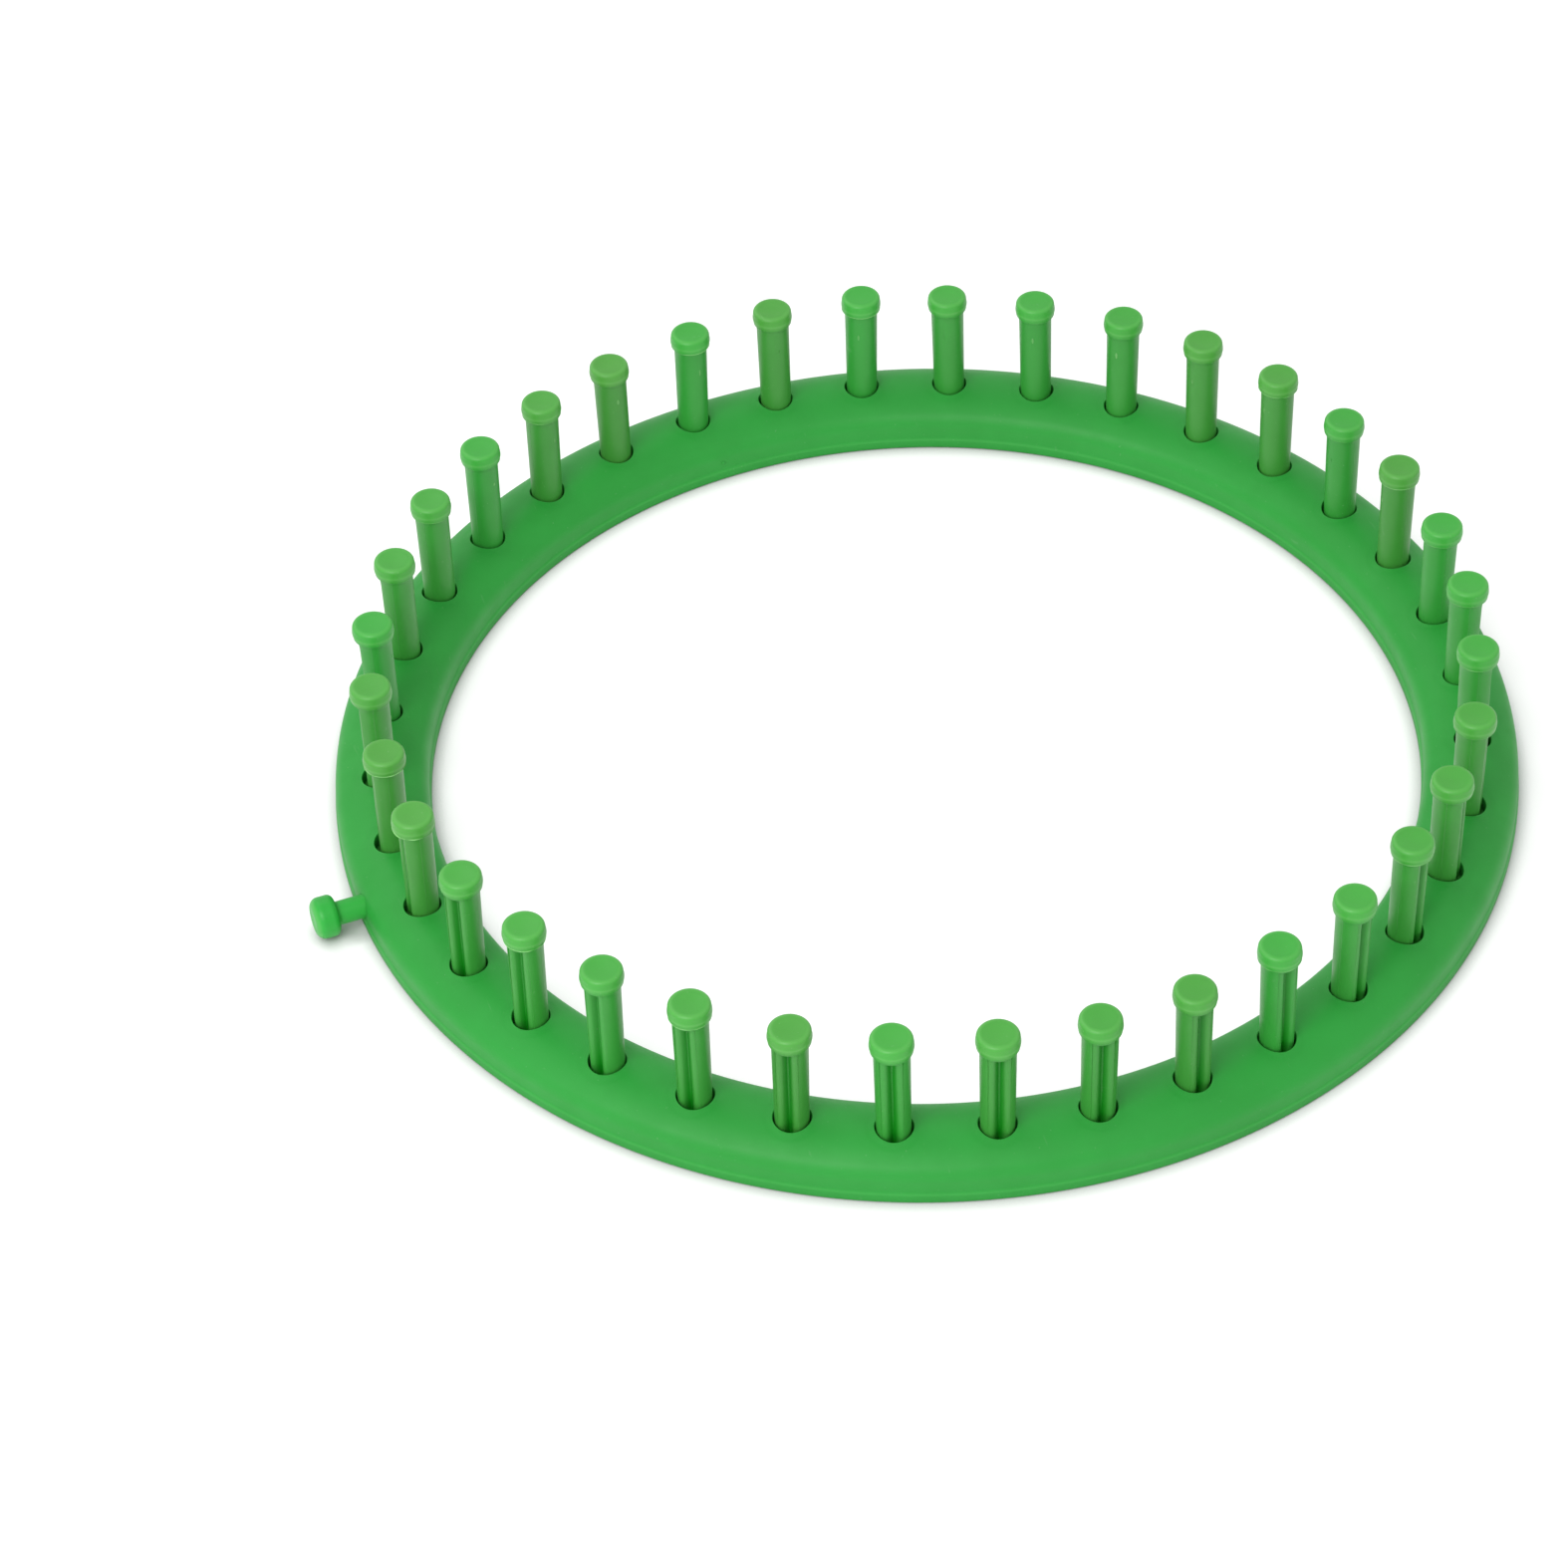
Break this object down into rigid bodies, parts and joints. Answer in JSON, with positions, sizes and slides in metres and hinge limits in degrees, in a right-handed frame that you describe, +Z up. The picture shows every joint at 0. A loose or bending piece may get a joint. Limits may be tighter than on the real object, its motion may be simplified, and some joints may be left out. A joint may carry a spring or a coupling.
{
  "type": "round knitting loom",
  "caption": "Round plastic knitting loom: a hollow half-round ring carrying an even circle of upright grooved pegs with flat heads, and one anchor peg on its side.",
  "frame": {"origin": "centre of the ring, on the plane of the rim that it rests on", "axes": "+Z up along the pegs, -X through the anchor peg, +Y completes the right-handed frame"},
  "size_m": [0.3019, 0.29, 0.0421],
  "materials": {
    "ring_plastic": "satin moulded green plastic",
    "peg_plastic": "satin-gloss moulded green plastic, a little lighter and yellower than the ring"
  },
  "bodies": {
    "ring": {"ring": "ring_plastic"},
    "peg_01": {"peg_01": "peg_plastic"},
    "peg_02": {"peg_02": "peg_plastic"},
    "peg_03": {"peg_03": "peg_plastic"},
    "peg_04": {"peg_04": "peg_plastic"},
    "peg_05": {"peg_05": "peg_plastic"},
    "peg_06": {"peg_06": "peg_plastic"},
    "peg_07": {"peg_07": "peg_plastic"},
    "peg_08": {"peg_08": "peg_plastic"},
    "peg_09": {"peg_09": "peg_plastic"},
    "peg_10": {"peg_10": "peg_plastic"},
    "peg_11": {"peg_11": "peg_plastic"},
    "peg_12": {"peg_12": "peg_plastic"},
    "peg_13": {"peg_13": "peg_plastic"},
    "peg_14": {"peg_14": "peg_plastic"},
    "peg_15": {"peg_15": "peg_plastic"},
    "peg_16": {"peg_16": "peg_plastic"},
    "peg_17": {"peg_17": "peg_plastic"},
    "peg_18": {"peg_18": "peg_plastic"},
    "peg_19": {"peg_19": "peg_plastic"},
    "peg_20": {"peg_20": "peg_plastic"},
    "peg_21": {"peg_21": "peg_plastic"},
    "peg_22": {"peg_22": "peg_plastic"},
    "peg_23": {"peg_23": "peg_plastic"},
    "peg_24": {"peg_24": "peg_plastic"},
    "peg_25": {"peg_25": "peg_plastic"},
    "peg_26": {"peg_26": "peg_plastic"},
    "peg_27": {"peg_27": "peg_plastic"},
    "peg_28": {"peg_28": "peg_plastic"},
    "peg_29": {"peg_29": "peg_plastic"},
    "peg_30": {"peg_30": "peg_plastic"},
    "peg_31": {"peg_31": "peg_plastic"},
    "peg_32": {"peg_32": "peg_plastic"},
    "peg_33": {"peg_33": "peg_plastic"},
    "peg_34": {"peg_34": "peg_plastic"},
    "peg_35": {"peg_35": "peg_plastic"},
    "peg_36": {"peg_36": "peg_plastic"},
    "anchor_peg": {"anchor_peg": "peg_plastic"}
  },
  "joints": [
    {"name": "peg_01_pull", "type": "slide", "parent": "ring", "child": "peg_01", "axis": [0, 0, 1], "range_m": [0, 0.014]},
    {"name": "peg_02_pull", "type": "slide", "parent": "ring", "child": "peg_02", "axis": [0, 0, 1], "range_m": [0, 0.014]},
    {"name": "peg_03_pull", "type": "slide", "parent": "ring", "child": "peg_03", "axis": [0, 0, 1], "range_m": [0, 0.014]},
    {"name": "peg_04_pull", "type": "slide", "parent": "ring", "child": "peg_04", "axis": [0, 0, 1], "range_m": [0, 0.014]},
    {"name": "peg_05_pull", "type": "slide", "parent": "ring", "child": "peg_05", "axis": [0, 0, 1], "range_m": [0, 0.014]},
    {"name": "peg_06_pull", "type": "slide", "parent": "ring", "child": "peg_06", "axis": [0, 0, 1], "range_m": [0, 0.014]},
    {"name": "peg_07_pull", "type": "slide", "parent": "ring", "child": "peg_07", "axis": [0, 0, 1], "range_m": [0, 0.014]},
    {"name": "peg_08_pull", "type": "slide", "parent": "ring", "child": "peg_08", "axis": [0, 0, 1], "range_m": [0, 0.014]},
    {"name": "peg_09_pull", "type": "slide", "parent": "ring", "child": "peg_09", "axis": [0, 0, 1], "range_m": [0, 0.014]},
    {"name": "peg_10_pull", "type": "slide", "parent": "ring", "child": "peg_10", "axis": [0, 0, 1], "range_m": [0, 0.014]},
    {"name": "peg_11_pull", "type": "slide", "parent": "ring", "child": "peg_11", "axis": [0, 0, 1], "range_m": [0, 0.014]},
    {"name": "peg_12_pull", "type": "slide", "parent": "ring", "child": "peg_12", "axis": [0, 0, 1], "range_m": [0, 0.014]},
    {"name": "peg_13_pull", "type": "slide", "parent": "ring", "child": "peg_13", "axis": [0, 0, 1], "range_m": [0, 0.014]},
    {"name": "peg_14_pull", "type": "slide", "parent": "ring", "child": "peg_14", "axis": [0, 0, 1], "range_m": [0, 0.014]},
    {"name": "peg_15_pull", "type": "slide", "parent": "ring", "child": "peg_15", "axis": [0, 0, 1], "range_m": [0, 0.014]},
    {"name": "peg_16_pull", "type": "slide", "parent": "ring", "child": "peg_16", "axis": [0, 0, 1], "range_m": [0, 0.014]},
    {"name": "peg_17_pull", "type": "slide", "parent": "ring", "child": "peg_17", "axis": [0, 0, 1], "range_m": [0, 0.014]},
    {"name": "peg_18_pull", "type": "slide", "parent": "ring", "child": "peg_18", "axis": [0, 0, 1], "range_m": [0, 0.014]},
    {"name": "peg_19_pull", "type": "slide", "parent": "ring", "child": "peg_19", "axis": [0, 0, 1], "range_m": [0, 0.014]},
    {"name": "peg_20_pull", "type": "slide", "parent": "ring", "child": "peg_20", "axis": [0, 0, 1], "range_m": [0, 0.014]},
    {"name": "peg_21_pull", "type": "slide", "parent": "ring", "child": "peg_21", "axis": [0, 0, 1], "range_m": [0, 0.014]},
    {"name": "peg_22_pull", "type": "slide", "parent": "ring", "child": "peg_22", "axis": [0, 0, 1], "range_m": [0, 0.014]},
    {"name": "peg_23_pull", "type": "slide", "parent": "ring", "child": "peg_23", "axis": [0, 0, 1], "range_m": [0, 0.014]},
    {"name": "peg_24_pull", "type": "slide", "parent": "ring", "child": "peg_24", "axis": [0, 0, 1], "range_m": [0, 0.014]},
    {"name": "peg_25_pull", "type": "slide", "parent": "ring", "child": "peg_25", "axis": [0, 0, 1], "range_m": [0, 0.014]},
    {"name": "peg_26_pull", "type": "slide", "parent": "ring", "child": "peg_26", "axis": [0, 0, 1], "range_m": [0, 0.014]},
    {"name": "peg_27_pull", "type": "slide", "parent": "ring", "child": "peg_27", "axis": [0, 0, 1], "range_m": [0, 0.014]},
    {"name": "peg_28_pull", "type": "slide", "parent": "ring", "child": "peg_28", "axis": [0, 0, 1], "range_m": [0, 0.014]},
    {"name": "peg_29_pull", "type": "slide", "parent": "ring", "child": "peg_29", "axis": [0, 0, 1], "range_m": [0, 0.014]},
    {"name": "peg_30_pull", "type": "slide", "parent": "ring", "child": "peg_30", "axis": [0, 0, 1], "range_m": [0, 0.014]},
    {"name": "peg_31_pull", "type": "slide", "parent": "ring", "child": "peg_31", "axis": [0, 0, 1], "range_m": [0, 0.014]},
    {"name": "peg_32_pull", "type": "slide", "parent": "ring", "child": "peg_32", "axis": [0, 0, 1], "range_m": [0, 0.014]},
    {"name": "peg_33_pull", "type": "slide", "parent": "ring", "child": "peg_33", "axis": [0, 0, 1], "range_m": [0, 0.014]},
    {"name": "peg_34_pull", "type": "slide", "parent": "ring", "child": "peg_34", "axis": [0, 0, 1], "range_m": [0, 0.014]},
    {"name": "peg_35_pull", "type": "slide", "parent": "ring", "child": "peg_35", "axis": [0, 0, 1], "range_m": [0, 0.014]},
    {"name": "peg_36_pull", "type": "slide", "parent": "ring", "child": "peg_36", "axis": [0, 0, 1], "range_m": [0, 0.014]},
    {"name": "anchor_peg_pull", "type": "slide", "parent": "ring", "child": "anchor_peg", "axis": [-1, 0, 0], "range_m": [0, 0.013]}
  ]
}
